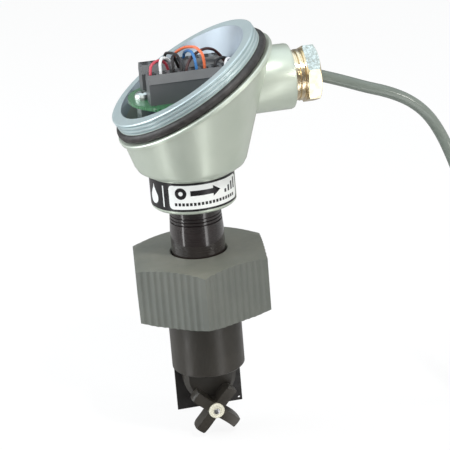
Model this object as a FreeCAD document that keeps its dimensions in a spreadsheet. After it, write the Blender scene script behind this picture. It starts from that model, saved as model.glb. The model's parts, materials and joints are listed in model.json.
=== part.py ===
# Paddle wheel flow sensor: an insertion probe with a cast connection head, shown with its cover off.
# The probe goes down through a pipe fitting and is held there by its union nut. A four blade wheel
# turns in the flow on a pin in front of the tongue of the probe, ahead of a thin shield plate.
# +Z runs up the probe, +Y along the wheel's pin and away from the wheel, +X along the cable entry.
# The origin is on the axis of the probe, where the wall of its insertion collar ends. Sizes are in mm.
import FreeCAD, Part
import math
import os
import Sketcher
from FreeCAD import Placement, Rotation, Vector

doc = FreeCAD.newDocument("flow_sensor")

# Driving dimensions: alias, value, meaning. Lengths are in mm and angles in degrees.
SIZES = [
    ("collar_dia", 36.66, "insertion collar of the probe, outside"),
    ("collar_len", 42.0, "wall of the insertion collar, from its lower end to the flange"),
    ("collar_bevel", 0.6, "chamfer of the lower edge of the collar"),
    ("flange_dia", 46.0, "flange that the union nut pulls down"),
    ("flange_thick", 8.0, "thickness of that flange"),
    ("seal_cord", 3.5, "cord thickness of the seal under the flange"),
    ("seal_groove", 0.4, "depth of the groove that the seal sits in"),
    ("tongue_wide", 26.7, "width of the tongue that carries the wheel"),
    ("tongue_front", 2.2, "front face of the tongue, ahead of the axis"),
    ("tongue_back", 6.0, "back face of the tongue, behind the axis"),
    ("tongue_straight", 8.0, "straight part of the tongue, above its round end"),
    ("tongue_bevel", 2.3, "bevel round the front edge of the tongue"),
    ("boss_dia", 10.6, "pin boss at the foot of the tongue"),
    ("wheel_drop", 22.3, "pin axis, below the lower face of the collar"),
    ("wheel_radius", 14.0, "wheel axis to blade tip"),
    ("wheel_wide", 8.3, "width of the wheel along its pin"),
    ("wheel_gap", 0.3, "side gap between wheel and boss"),
    ("boss_proud", 0.2, "boss, ahead of the face of the tongue"),
    ("hub_dia", 8.8, "hub of the wheel"),
    ("blade_thick", 5.2, "thickness of a blade"),
    ("blade_cup", 0.7, "how far the middle of a blade is dished"),
    ("blade_round", 3.4, "rounding of the outer back corner of a blade"),
    ("magnet_dia", 1.8, "magnet in the back edge of each blade"),
    ("magnet_len", 4.0, "length of each magnet"),
    ("magnet_at", 8.4, "magnets from the pin axis"),
    ("pin_dia", 2.0, "pin of the wheel"),
    ("pin_play", 0.05, "radial running clearance of wheel on pin"),
    ("pin_head_dia", 3.0, "head of that pin"),
    ("pin_head_thick", 0.5, "thickness of that head"),
    ("bush_dia", 5.2, "white bush pressed in the hub"),
    ("bush_flange_dia", 7.9, "front flange of that bush"),
    ("bush_flange_thick", 1.2, "thickness of that flange"),
    ("plate_wide", 33.8, "shield plate, width"),
    ("plate_drop", 26.8, "shield plate, below the lower face of the collar"),
    ("plate_in", 5.0, "shield plate, depth of its slot in the collar"),
    ("plate_thick", 1.0, "shield plate, thickness"),
    ("plate_hole", 1.3, "small hole in the corner of the plate"),
    ("plate_hole_in", 1.6, "centre of that hole from each edge"),
    ("stem_dia", 26.7, "stem tube, outside"),
    ("stem_bore", 19.0, "stem tube, inside"),
    ("stem_seat", 20.0, "depth of the stem in the flange"),
    ("stem_top_dia", 25.5, "stem where it enters the head"),
    ("taper_drop", 14.4, "start of the stem's taper, below the head"),
    ("taper_len", 8.6, "length of that taper"),
    ("stem_in_head", 12.0, "depth of the stem in the head"),
    ("undercut_pitch", 1.7, "spacing of the turned grooves near the top of the stem"),
    ("undercut_deep", 0.5, "depth of those grooves"),
    ("undercut_drop", 4.9, "top of the grooves, below the head"),
    ("nut_flats", 64.3, "union nut, across its flats"),
    ("nut_high", 29.6, "union nut, height"),
    ("nut_bore", 50.0, "union nut, inside its thread"),
    ("nut_roof", 9.3, "union nut, thickness of its top wall"),
    ("nut_play", 0.5, "radial gap between union nut and stem"),
    ("nut_turn", -6.9, "how far the nut is turned from the cable entry"),
    ("nut_slope", 20.0, "angle of the corner bevels of the nut"),
    ("nut_bevel_dia", 63.0, "circle at which the corner bevels start"),
    ("flute_pitch", 3.6, "spacing of the flutes on the flats"),
    ("flute_deep", 0.4, "depth of the flutes"),
    ("thread_pitch", 2.5, "pitch of the turned rings that stand for the nut's thread"),
    ("thread_deep", 0.9, "depth of those rings"),
    ("washer_thick", 2.0, "slip washer between flange and nut"),
    ("washer_dia", 48.0, "slip washer, outside"),
    ("washer_play", 0.3, "radial gap between slip washer and stem"),
    ("neck_z", 86.4, "lower face of the head"),
    ("neck_dia", 41.6, "neck of the head"),
    ("neck_len", 17.0, "length of the neck"),
    ("neck_chamfer", 0.8, "chamfer of the neck's lower edge"),
    ("shoulder_dia", 55.0, "head above its round shoulder"),
    ("shoulder_high", 4.6, "height of that shoulder"),
    ("rim_x", -0.8, "centre of the rim, along X"),
    ("rim_z", 151.9, "centre of the rim, height"),
    ("rim_tilt", 29.6, "tilt of the rim"),
    ("rim_dia", 80.8, "outside of the cover thread on the rim"),
    ("rim_bore", 70.0, "mouth of the head"),
    ("rim_pitch", 1.9, "pitch of the cover thread"),
    ("rim_thread_deep", 0.9, "depth of the cover thread"),
    ("rim_thread_len", 5.7, "length of the cover thread"),
    ("rim_seal_cord", 4.4, "cord thickness of the cover seal"),
    ("rim_seal_sink", 2.3, "floor of the seal's groove inside the cover thread"),
    ("rim_lip_out", 1.2, "lip under the cover seal, past the seal"),
    ("rim_lip_thick", 2.4, "thickness of that lip"),
    ("bowl_floor_z", 113.0, "floor of the hollow of the head"),
    ("bowl_floor_dia", 47.0, "diameter of that floor"),
    ("head_hole_dia", 16.0, "hole from the neck up into the hollow"),
    ("entry_z", 142.8, "axis of the cable entry"),
    ("entry_dia", 32.0, "boss of the cable entry"),
    ("entry_end_x", 52.2, "end face of that boss"),
    ("entry_start_x", 25.0, "inner end of that boss, inside the hollow"),
    ("entry_round", 1.5, "rounding of that end"),
    ("entry_bore", 21.0, "bore of the cable entry"),
    ("gland_in", 9.0, "depth of the gland in its bore"),
    ("gland_ring_dia", 25.0, "rings of the gland, outside"),
    ("gland_ring_len", 6.0, "length of the ringed part"),
    ("gland_groove", 0.9, "depth of the grooves between rings"),
    ("gland_flats", 26.0, "hexagon of the gland nut, across flats"),
    ("gland_hex_len", 6.6, "thickness of the gland nut"),
    ("gland_hex_turn", 20.0, "how far its corners are turned up from level"),
    ("gland_bevel", 1.2, "corner bevel of the gland nut"),
    ("gland_throat", 14.0, "bore of the gland for its rubber bush"),
    ("cable_dia", 5.8, "cable, outside"),
    ("cable_inside_x", 31.0, "inner end of the cable jacket"),
    ("board_z", 141.3, "top of the circuit board"),
    ("board_gap", 1.0, "circuit board from the wall of the head, at its nearest"),
    ("board_x", -1.0, "centre of the board, along X"),
    ("board_thick", 1.6, "circuit board, thickness"),
    ("board_hole_dia", 12.0, "hole in the board for the wires from below"),
    ("post_at", 20.5, "spacers under the board, from the axis"),
    ("post_flats", 5.5, "hexagon of the spacers, across flats"),
    ("pad_dia", 8.0, "pads under the spacers on the floor of the head"),
    ("pad_high", 6.0, "height of those pads"),
    ("screw_head_dia", 7.8, "pan heads on the board"),
    ("screw_head_high", 3.4, "height of those heads"),
    ("screw_dia", 3.0, "shanks of those screws"),
    ("screw_len", 8.0, "length of those shanks"),
    ("block_x0", -19.0, "left end of the terminal blocks"),
    ("block_pitch", 5.0, "pitch of the terminals"),
    ("block_poles", 8, "terminals in each block"),
    ("block_out", 16.0, "outer face of each block from the middle"),
    ("block_in", 5.0, "inner face of each block from the middle"),
    ("block_high", 14.2, "height of the blocks"),
    ("block_slope", 4.0, "height of the sloping edges along the tops of the blocks"),
    ("block_slope_in", 2.2, "how far that slope comes in"),
    ("block_step", 0.5, "how far the sides below the slopes stand back"),
    ("well_dia", 3.2, "screw wells in the tops of the blocks"),
    ("well_deep", 5.0, "depth of those wells"),
    ("well_out", 8.8, "centre of the wells from the middle"),
    ("clamp_high", 3.6, "height of the clamp screws in the wells"),
    ("funnel_long", 3.6, "wire funnels along the block"),
    ("funnel_wide", 2.8, "wire funnels across the block"),
    ("funnel_deep", 4.5, "depth of the wire funnels"),
    ("funnel_out", 12.0, "centre of the funnels from the middle"),
    ("label_z0", 88.2, "lower edge of the label"),
    ("label_high", 14.2, "height of the label"),
    ("label_film", 0.25, "thickness of the label"),
    ("label_start", 160.0, "where the label starts, turned from +X"),
    ("label_span", 176.0, "angle that the label covers"),
    ("wire_dia", 1.4, "wires in the head"),
    ("pickup_dia", 5.2, "pickup in the tongue"),
    ("pickup_len", 14.0, "length of the pickup"),
    ("pickup_depth", 12.0, "tip of the pickup below the collar"),
    ("lead_dia", 3.2, "lead from the pickup up through the board"),
    ("lead_out", 0.2, "end of that lead above the board"),
    ("floor_drop", 36.5, "surface under the cable, below the origin"),
    ("coil_radius", 32.6, "coil of spare cable, middle of its turns"),
    ("coil_across", 4, "turns side by side in the coil"),
    ("coil_layers", 2, "layers of turns in the coil"),
    ("coil_x", 180.0, "centre of the coil, along X"),
    ("coil_y", 10.0, "centre of the coil, along Y"),
    ("coil_reach", 19.1, "straight stretch of cable that leads in and out of the coil"),
    ("bare_len", 12.0, "length of the stripped cores at the end of the cable"),
]

dims = doc.addObject("Spreadsheet::Sheet", "dims")


class Size:
    """A length that knows its number and the sheet expression that gives it."""

    def __init__(self, value, text):
        self.value = float(value)
        self.text = text

    def _join(self, other, sign, result):
        text = other.text if isinstance(other, Size) else repr(float(other))
        return Size(result, "(%s %s %s)" % (self.text, sign, text))

    def __add__(self, other):
        return self._join(other, "+", self.value + number(other))

    def __sub__(self, other):
        return self._join(other, "-", self.value - number(other))

    def __mul__(self, other):
        return self._join(other, "*", self.value * number(other))

    def __truediv__(self, other):
        return self._join(other, "/", self.value / number(other))

    def __neg__(self):
        return Size(-self.value, "(-1 * %s)" % self.text)


def number(size):
    """The plain number of a Size or of a number."""
    return size.value if isinstance(size, Size) else float(size)


def cosine(angle):
    return Size(math.cos(math.radians(angle.value)), "cos(%s * 1deg)" % angle.text)


def sine(angle):
    return Size(math.sin(math.radians(angle.value)), "sin(%s * 1deg)" % angle.text)


class Sheet:
    """The driving dimensions as Size values, one attribute for each alias."""


S = Sheet()
for row, (alias, value, meaning) in enumerate(SIZES, start=1):
    dims.set("A%d" % row, meaning)
    dims.set("B%d" % row, str(value))
    dims.setAlias("B%d" % row, alias)
    setattr(S, alias, Size(value, "dims.%s" % alias))
doc.recompute()


def bind(thing, name, size):
    """Sets a property from a Size and ties it to the sheet."""
    if isinstance(size, Size):
        thing.setExpression(name, size.text)


def place(thing, x=0, y=0, z=0, axis=None, angle=0):
    """Puts a thing at a position that follows the sheet, turned about an axis."""
    turn = Rotation(Vector(*axis), number(angle)) if axis else Rotation()
    thing.Placement = Placement(Vector(number(x), number(y), number(z)), turn)
    for letter, size in (("x", x), ("y", y), ("z", z)):
        bind(thing, "Placement.Base." + letter, size)
    if axis and isinstance(angle, Size):
        thing.setExpression("Placement.Rotation.Angle", angle.text + " * 1deg")
    return thing


def cylinder(name, radius, height, **where):
    made = doc.addObject("Part::Cylinder", name)
    made.Radius = number(radius)
    made.Height = number(height)
    bind(made, "Radius", radius)
    bind(made, "Height", height)
    return place(made, **where)


def block(name, length, width, height, **where):
    made = doc.addObject("Part::Box", name)
    for side, size in (("Length", length), ("Width", width), ("Height", height)):
        setattr(made, side, number(size))
        bind(made, side, size)
    return place(made, **where)


def ring(name, middle, cord, **where):
    made = doc.addObject("Part::Torus", name)
    made.Radius1 = number(middle)
    made.Radius2 = number(cord)
    bind(made, "Radius1", middle)
    bind(made, "Radius2", cord)
    return place(made, **where)


def fuse(name, *things):
    made = doc.addObject("Part::MultiFuse", name)
    made.Shapes = list(things)
    return made


def cut(name, base, *tools):
    made = doc.addObject("Part::Cut", name)
    made.Base = base
    made.Tool = tools[0] if len(tools) == 1 else fuse(name + "_tools", *tools)
    return made


def common(name, first, second):
    made = doc.addObject("Part::MultiCommon", name)
    made.Shapes = [first, second]
    return made


def shaped(name, shape):
    """A piece whose shape is worked out here because no single feature fits it."""
    made = doc.addObject("Part::Feature", name)
    made.Shape = shape
    return made


def plane_of(body, role):
    return [f for f in body.Origin.OriginFeatures if f.Role == role][0]


def outline(body, name, role, corners, offset=0):
    """A closed sketch with straight sides on one of the body's planes, tied to the sheet."""
    sketch = body.newObject("Sketcher::SketchObject", name)
    sketch.AttachmentSupport = [(plane_of(body, role), "")]
    sketch.MapMode = "FlatFace"
    if number(offset):
        sketch.AttachmentOffset = Placement(Vector(0, 0, number(offset)), Rotation())
        bind(sketch, "AttachmentOffset.Base.z", offset)
    count = len(corners)
    points = [Vector(number(x), number(y), 0) for x, y in corners]
    for i in range(count):
        sketch.addGeometry(Part.LineSegment(points[i], points[(i + 1) % count]), False)
    for i in range(count):
        sketch.addConstraint(Sketcher.Constraint("Coincident", i, 2, (i + 1) % count, 1))
    for i, (x, y) in enumerate(corners):
        for kind, axis, size in (("DistanceX", -2, x), ("DistanceY", -1, y)):
            if number(size) == 0:
                sketch.addConstraint(Sketcher.Constraint("PointOnObject", i, 1, axis))
                continue
            at = sketch.addConstraint(
                Sketcher.Constraint(kind, -1, 1, i, 1, number(size))
            )
            bind(sketch, "Constraints[%d]" % at, size)
    return sketch


def turned(name, corners, **where):
    """A body turned about Z from a profile of (radius, height) corners."""
    body = doc.addObject("PartDesign::Body", name)
    sketch = outline(body, name + "_profile", "XZ_Plane", corners)
    spin = body.newObject("PartDesign::Revolution", name + "_turn")
    spin.Profile = sketch
    spin.ReferenceAxis = (sketch, ["V_Axis"])
    spin.Angle = 360.0
    return place(body, **where)


def pushed(name, role, corners, length, offset=0, **where):
    """A body pushed out from a straight sided profile on one of its planes."""
    body = doc.addObject("PartDesign::Body", name)
    sketch = outline(body, name + "_profile", role, corners, offset)
    pad = body.newObject("PartDesign::Pad", name + "_pad")
    pad.Profile = sketch
    pad.Length = number(length)
    bind(pad, "Length", length)
    return place(body, **where)


def rings(crest, root, start, pitch, count, step):
    """Corners of a row of turned rings, from start along step times pitch."""
    corners = []
    for i in range(count):
        low = pitch * (step * i) + start
        corners.append((crest, low + pitch * (step * 0.15)))
        corners.append((root, low + pitch * (step * 0.4)))
        corners.append((root, low + pitch * (step * 0.6)))
        corners.append((crest, low + pitch * (step * 0.85)))
    return corners


# Levels that several pieces share.
flange_top = S.collar_len + S.flange_thick
stem_radius = S.stem_dia / 2
nut_bottom = flange_top + S.washer_thick + S.nut_roof - S.nut_high
stem_top = S.neck_z + S.stem_in_head
taper_start = S.neck_z - S.taper_drop
stem_top_radius = S.stem_top_dia / 2
wheel_back = S.tongue_front + S.boss_proud + S.wheel_gap
wheel_front = wheel_back + S.wheel_wide
bush_front = wheel_front + S.bush_flange_thick
block_top = S.board_z + S.block_high
funnel_floor = block_top - S.funnel_deep
board_under = S.board_z - S.board_thick
pickup_y = (S.tongue_back - S.tongue_front) / 2
shoulder_z = S.neck_z + S.neck_len + S.shoulder_high
seal_floor = S.rim_dia / 2 - S.rim_seal_sink
lip_radius = seal_floor + S.rim_seal_cord + S.rim_lip_out
rim_high_x = S.rim_x + cosine(S.rim_tilt) * (S.rim_bore / 2)
rim_high_z = S.rim_z + sine(S.rim_tilt) * (S.rim_bore / 2)
hollow_slope = (rim_high_x - S.bowl_floor_dia / 2) / (rim_high_z - S.bowl_floor_z)
hollow_at_board = S.bowl_floor_dia / 2 + hollow_slope * (board_under - S.bowl_floor_z)
board_radius = hollow_at_board - S.board_gap - S.board_x


def rim_place(below=0):
    """Where the rim's own frame lies, some way below its top face."""
    down = Size(number(below), below.text if isinstance(below, Size) else repr(float(below)))
    return {
        "x": S.rim_x + sine(S.rim_tilt) * down,
        "y": 0,
        "z": S.rim_z - cosine(S.rim_tilt) * down,
        "axis": (0, -1, 0),
        "angle": S.rim_tilt,
    }


def make_sensor_body():
    """Collar, flange, tongue and pin boss: one moulding, bored for the stem and the pickup."""
    groove_top = S.collar_len
    groove_low = S.collar_len - S.seal_cord
    radius = S.collar_dia / 2
    collar = turned(
        "collar",
        [
            (0, -S.collar_bevel),
            (radius - S.collar_bevel, -S.collar_bevel),
            (radius, 0),
            (radius, groove_low),
            (radius - S.seal_groove, groove_low),
            (radius - S.seal_groove, groove_top),
            (S.flange_dia / 2, groove_top),
            (S.flange_dia / 2, flange_top),
            (0, flange_top),
        ],
    )
    half = S.tongue_wide / 2
    depth = S.tongue_front + S.tongue_back
    inset = half - S.tongue_bevel
    slab = block(
        "tongue_slab",
        S.tongue_wide,
        depth - S.tongue_bevel,
        S.tongue_straight + 2,
        x=-half,
        y=S.tongue_bevel - S.tongue_front,
        z=-S.tongue_straight,
    )
    face = block(
        "tongue_face",
        inset * 2,
        S.tongue_bevel,
        S.tongue_straight + 2,
        x=-inset,
        y=-S.tongue_front,
        z=-S.tongue_straight,
    )
    end = cylinder(
        "tongue_end",
        half,
        depth - S.tongue_bevel,
        y=S.tongue_back,
        z=-S.tongue_straight,
        axis=(1, 0, 0),
        angle=90,
    )
    bevel = doc.addObject("Part::Cone", "tongue_end_bevel")
    bevel.Radius1 = half.value
    bevel.Radius2 = inset.value
    bevel.Height = S.tongue_bevel.value
    bind(bevel, "Radius1", half)
    bind(bevel, "Radius2", inset)
    bind(bevel, "Height", S.tongue_bevel)
    place(bevel, y=S.tongue_bevel - S.tongue_front, z=-S.tongue_straight, axis=(1, 0, 0), angle=90)
    sides = [
        pushed(
            "tongue_side_" + name,
            "XY_Plane",
            [
                (inset * hand, S.tongue_bevel - S.tongue_front),
                (inset * hand, -S.tongue_front),
                (half * hand, S.tongue_bevel - S.tongue_front),
            ],
            S.tongue_straight + 2,
            z=-S.tongue_straight,
        )
        for name, hand in (("left", -1), ("right", 1))
    ]
    boss = cylinder(
        "pin_boss",
        S.boss_dia / 2,
        depth + S.boss_proud,
        y=S.tongue_back,
        z=-S.wheel_drop,
        axis=(1, 0, 0),
        angle=90,
    )
    whole = fuse("body_solid", collar, slab, face, end, bevel, sides[0], sides[1], boss)
    socket = cylinder("stem_socket", stem_radius, S.stem_seat + 1, z=flange_top - S.stem_seat)
    bore = cylinder(
        "pickup_bore",
        S.pickup_dia / 2,
        S.pickup_depth + flange_top,
        y=pickup_y,
        z=-S.pickup_depth,
    )
    pin_hole = cylinder(
        "pin_hole",
        S.pin_dia / 2,
        depth + 2,
        y=S.tongue_back - 1.2,
        z=-S.wheel_drop,
        axis=(1, 0, 0),
        angle=90,
    )
    slot = block(
        "plate_slot",
        S.plate_wide,
        S.plate_thick,
        S.plate_in + 1,
        x=-S.plate_wide / 2,
        y=S.tongue_back,
        z=-1,
    )
    return cut("sensor_body", whole, socket, bore, pin_hole, slot)


def make_shield_plate():
    """Thin square plate in a slot of the collar, behind the tongue, with a small hole in one corner."""
    sheet = block(
        "plate_sheet",
        S.plate_wide,
        S.plate_thick,
        S.plate_drop + S.plate_in,
        x=-S.plate_wide / 2,
        y=S.tongue_back,
        z=-S.plate_drop,
    )
    hole = cylinder(
        "plate_corner_hole",
        S.plate_hole / 2,
        S.plate_thick + 2,
        x=S.plate_wide / 2 - S.plate_hole_in,
        y=S.tongue_back + S.plate_thick + 1,
        z=S.plate_hole_in - S.plate_drop,
        axis=(1, 0, 0),
        angle=90,
    )
    return cut("shield_plate", sheet, hole)


def magnet(name, k):
    """One magnet, or its pocket, in the back edge of blade k."""
    angle = math.radians(45 + 90 * k)
    return cylinder(
        name,
        S.magnet_dia / 2,
        S.magnet_len,
        x=S.magnet_at * math.cos(angle),
        y=-wheel_back,
        z=S.magnet_at * math.sin(angle) - S.wheel_drop,
        axis=(1, 0, 0),
        angle=90,
    )


def make_blade(k):
    """One dished blade, pushed out along the pin from its curved section."""
    half = S.blade_thick / 2
    bow = [(0.12, 0.0), (0.36, 0.45), (0.55, 0.8), (0.75, 1.0), (1.02, 0.85)]
    lower = [(S.wheel_radius * r, S.blade_cup * d - half) for r, d in bow]
    upper = [(S.wheel_radius * r, S.blade_cup * d + half) for r, d in reversed(bow)]
    return pushed(
        "blade_%d" % (k + 1),
        "XZ_Plane",
        lower + upper,
        S.wheel_wide,
        z=-S.wheel_drop,
        y=-wheel_back,
        axis=(0, 1, 0),
        angle=-45 - 90 * k,
    )


def wheel_envelope():
    """The turned space that the blades fill, with the outer back corner rounded off."""
    reach, wide, corner = S.wheel_radius, S.wheel_wide, S.blade_round
    return turned(
        "wheel_envelope",
        [
            (0, 0),
            (reach - corner, 0),
            (reach - corner * 0.5, corner * 0.13),
            (reach - corner * 0.13, corner * 0.5),
            (reach, corner),
            (reach, wide - 0.8),
            (reach - 0.8, wide),
            (0, wide),
        ],
        y=-wheel_back,
        z=-S.wheel_drop,
        axis=(1, 0, 0),
        angle=90,
    )


def make_paddle_wheel():
    """Hub and four dished blades in an X, with a bore for the bush and a pocket in each blade."""
    blades = common(
        "blades", fuse("blade_set", *[make_blade(k) for k in range(4)]), wheel_envelope()
    )
    hub = cylinder(
        "wheel_hub",
        S.hub_dia / 2,
        S.wheel_wide,
        y=-wheel_back,
        z=-S.wheel_drop,
        axis=(1, 0, 0),
        angle=90,
    )
    bore = cylinder(
        "wheel_bore",
        S.bush_dia / 2,
        S.wheel_wide + 2,
        y=-wheel_back + 1,
        z=-S.wheel_drop,
        axis=(1, 0, 0),
        angle=90,
    )
    pockets = [magnet("magnet_pocket_%d" % (k + 1), k) for k in range(4)]
    return cut("paddle_wheel", fuse("wheel_solid", blades, hub), bore, *pockets)


def make_wheel_magnets():
    made = doc.addObject("Part::Compound", "wheel_magnets")
    made.Links = [magnet("magnet_%d" % (k + 1), k) for k in range(4)]
    return made


def make_wheel_bush():
    """White bush pressed in the hub, with a dished front flange, running on the pin."""
    hole = S.pin_dia / 2 + S.pin_play
    flange = S.bush_flange_dia / 2
    front = S.wheel_wide + S.bush_flange_thick
    return turned(
        "wheel_bush",
        [
            (hole, 0),
            (S.bush_dia / 2, 0),
            (S.bush_dia / 2, S.wheel_wide),
            (flange, S.wheel_wide),
            (flange, front - 0.4),
            (flange - 0.4, front),
            (flange - 1.2, front),
            (flange - 1.5, front - 0.3),
            (hole, front - 0.3),
        ],
        y=-wheel_back,
        z=-S.wheel_drop,
        axis=(1, 0, 0),
        angle=90,
    )


def make_wheel_pin():
    """Steel pin pressed into the boss, with a small head ahead of the bush."""
    length = S.tongue_back - 1.2 + bush_front
    return turned(
        "wheel_pin",
        [
            (0, 0),
            (S.pin_dia / 2, 0),
            (S.pin_dia / 2, length),
            (S.pin_head_dia / 2, length),
            (S.pin_head_dia / 2, length + S.pin_head_thick * 0.6),
            (S.pin_head_dia / 2 - 0.4, length + S.pin_head_thick),
            (0, length + S.pin_head_thick),
        ],
        y=S.tongue_back - 1.2,
        z=-S.wheel_drop,
        axis=(1, 0, 0),
        angle=90,
    )


def make_pickup():
    """Potted pickup in the tongue."""
    return cylinder("pickup", S.pickup_dia / 2, S.pickup_len, y=pickup_y, z=-S.pickup_depth)


def make_pickup_lead():
    """Lead from the pickup, up through the stem and the board."""
    start = S.pickup_len - S.pickup_depth
    return cylinder("pickup_lead", S.lead_dia / 2, S.board_z + S.lead_out - start, y=pickup_y, z=start)


def make_flange_seal():
    cord = S.seal_cord / 2
    return ring(
        "flange_seal",
        S.collar_dia / 2 - S.seal_groove + cord,
        cord,
        z=S.collar_len - cord,
    )


def make_stem():
    """Stem tube, tapered below the head, with turned grooves and a bore for the lead."""
    grooves = []
    top = S.neck_z - S.undercut_drop
    pitch = S.undercut_pitch
    waist = stem_top_radius - S.undercut_deep
    for k in (2, 1, 0):
        low = top - pitch * (k + 0.5)
        radius = stem_radius - (stem_radius - stem_top_radius) * min(
            1.0, (number(low) - taper_start.value) / S.taper_len.value
        )
        grooves += [(radius, low), (waist, low + 0.2), (waist, low + 0.65), (radius, low + 0.85)]
    return turned(
        "stem_tube",
        [
            (S.stem_bore / 2, flange_top - S.stem_seat),
            (stem_radius, flange_top - S.stem_seat),
            (stem_radius, taper_start),
        ]
        + grooves
        + [
            (stem_top_radius, stem_top),
            (S.stem_bore / 2, stem_top),
        ],
    )


def make_slip_washer():
    return turned(
        "nut_slip_washer",
        [
            (stem_radius + S.washer_play, 0),
            (S.washer_dia / 2, 0),
            (S.washer_dia / 2, S.washer_thick),
            (stem_radius + S.washer_play, S.washer_thick),
        ],
        z=flange_top,
    )


def fluted_hexagon():
    """The hexagon of the nut, its flats scalloped by shallow flutes, as a face to push up."""
    apothem = S.nut_flats.value / 2
    corner = apothem / math.cos(math.radians(30))
    side = corner
    count = int(side // S.flute_pitch.value) - 1
    margin = (side - count * S.flute_pitch.value) / 2
    edges = []
    for face in range(6):
        turn = Rotation(Vector(0, 0, 1), 60 * face)

        def at(along, depth):
            return turn.multVec(Vector(apothem - depth, along - side / 2, 0))

        edges.append(Part.LineSegment(at(0, 0), at(margin, 0)).toShape())
        for k in range(count):
            start = margin + k * S.flute_pitch.value
            land = S.flute_pitch.value * 0.18
            stop = start + S.flute_pitch.value - land
            middle = at((start + stop) / 2, S.flute_deep.value)
            edges.append(Part.Arc(at(start, 0), middle, at(stop, 0)).toShape())
            edges.append(Part.LineSegment(at(stop, 0), at(stop + land, 0)).toShape())
        last = margin + count * S.flute_pitch.value
        edges.append(Part.LineSegment(at(last, 0), at(side, 0)).toShape())
    return Part.Face(Part.Wire(edges))


def make_union_nut():
    """Hexagon union nut, bevelled at its corners, with turned rings for its thread."""
    body = shaped(
        "nut_hexagon",
        fluted_hexagon().extrude(Vector(0, 0, S.nut_high.value)),
    )
    place(body, z=nut_bottom, axis=(0, 0, 1), angle=S.nut_turn)
    reach = S.nut_flats * 0.62
    drop = (reach - S.nut_bevel_dia / 2) * math.tan(math.radians(S.nut_slope.value))
    envelope = turned(
        "nut_envelope",
        [
            (0, 0),
            (S.nut_bevel_dia / 2 + 2, 0),
            (reach, drop * 0.5),
            (reach, S.nut_high - drop),
            (S.nut_bevel_dia / 2, S.nut_high),
            (0, S.nut_high),
        ],
        z=nut_bottom,
    )
    crest = S.nut_bore / 2
    depth = S.nut_high - S.nut_roof
    hole = stem_radius + S.nut_play
    turns = int((depth.value - 2.5) // S.thread_pitch.value)
    hollow = turned(
        "nut_hollow",
        [(0, -1), (crest + 1, -1), (crest + 1, 0), (crest, 1)]
        + rings(crest, crest + S.thread_deep, 1.2, S.thread_pitch, turns, 1)
        + [
            (crest, depth),
            (hole, depth),
            (hole, S.nut_high - 0.6),
            (hole + 0.6, S.nut_high),
            (hole + 0.6, S.nut_high + 1),
            (0, S.nut_high + 1),
        ],
        z=nut_bottom,
    )
    return cut("union_nut", common("nut_solid", body, envelope), hollow)


def circle(name, radius, **where):
    made = doc.addObject("Part::Circle", name)
    made.Radius = number(radius)
    bind(made, "Radius", radius)
    return place(made, **where)


def loft(name, *sections):
    made = doc.addObject("Part::Loft", name)
    made.Sections = list(sections)
    made.Solid = True
    made.Ruled = True
    return made


def make_head():
    """Cast head: neck, round shoulder, bowl that leans over to a threaded rim, cable entry."""
    neck_radius = S.neck_dia / 2
    shoulder = S.shoulder_dia / 2
    rise = S.shoulder_high
    out = shoulder - neck_radius
    neck_top = S.neck_z + S.neck_len
    neck = turned(
        "neck",
        [
            (0, S.neck_z),
            (neck_radius - S.neck_chamfer, S.neck_z),
            (neck_radius, S.neck_z + S.neck_chamfer),
            (neck_radius, neck_top),
            (neck_radius + out * 0.45, neck_top + rise * 0.16),
            (neck_radius + out * 0.8, neck_top + rise * 0.5),
            (shoulder, neck_top + rise),
            (0, neck_top + rise),
        ],
    )
    lip_low = S.rim_thread_len + S.rim_seal_cord + S.rim_lip_thick
    bowl = loft(
        "bowl",
        circle("bowl_foot", shoulder, z=shoulder_z),
        circle("bowl_head", lip_radius - 1.2, **rim_place(lip_low)),
    )
    crest = S.rim_dia / 2
    threads = int(S.rim_thread_len.value // S.rim_pitch.value)
    rim = turned(
        "rim",
        [(0, 0), (crest - 0.6, 0), (crest, -0.4)]
        + rings(crest, crest - S.rim_thread_deep, -0.2, S.rim_pitch, threads, -1)
        + [
            (crest, -S.rim_thread_len),
            (seal_floor, -S.rim_thread_len),
            (seal_floor, -S.rim_thread_len - S.rim_seal_cord),
            (lip_radius - 0.5, -S.rim_thread_len - S.rim_seal_cord),
            (lip_radius, -S.rim_thread_len - S.rim_seal_cord - 0.5),
            (lip_radius, -lip_low + 0.6),
            (lip_radius - 1.2, -lip_low),
            (0, -lip_low),
        ],
        **rim_place(0),
    )
    length = S.entry_end_x - S.entry_start_x
    entry = turned(
        "entry_boss",
        [
            (0, 0),
            (S.entry_dia / 2, 0),
            (S.entry_dia / 2, length - S.entry_round),
            (S.entry_dia / 2 - S.entry_round * 0.293, length - S.entry_round * 0.293),
            (S.entry_dia / 2 - S.entry_round, length),
            (0, length),
        ],
        x=S.entry_start_x,
        z=S.entry_z,
        axis=(0, 1, 0),
        angle=90,
    )
    hollow = loft(
        "bowl_hollow",
        circle("hollow_foot", S.bowl_floor_dia / 2, z=S.bowl_floor_z),
        circle("hollow_head", S.rim_bore / 2, **rim_place(-0.01)),
    )
    socket = cylinder("neck_socket", stem_top_radius, S.stem_in_head + 1, z=S.neck_z - 1)
    throat = cylinder(
        "neck_throat",
        S.head_hole_dia / 2,
        S.bowl_floor_z + 1 - stem_top,
        z=stem_top - 0.5,
    )
    bore = cylinder(
        "entry_bore",
        S.entry_bore / 2,
        S.entry_end_x - S.entry_start_x + 1,
        x=S.entry_start_x,
        z=S.entry_z,
        axis=(0, 1, 0),
        angle=90,
    )
    shell = cut("head_shell", fuse("head_solid", neck, bowl, rim, entry), hollow, socket)
    pads = [
        cylinder(
            "floor_pad_" + name,
            S.pad_dia / 2,
            S.pad_high + 1,
            x=S.post_at * hand,
            z=S.bowl_floor_z - 1,
        )
        for name, hand in (("left", -1), ("right", 1))
    ]
    return cut("head_housing", fuse("head_padded", shell, *pads), throat, bore)


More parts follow.
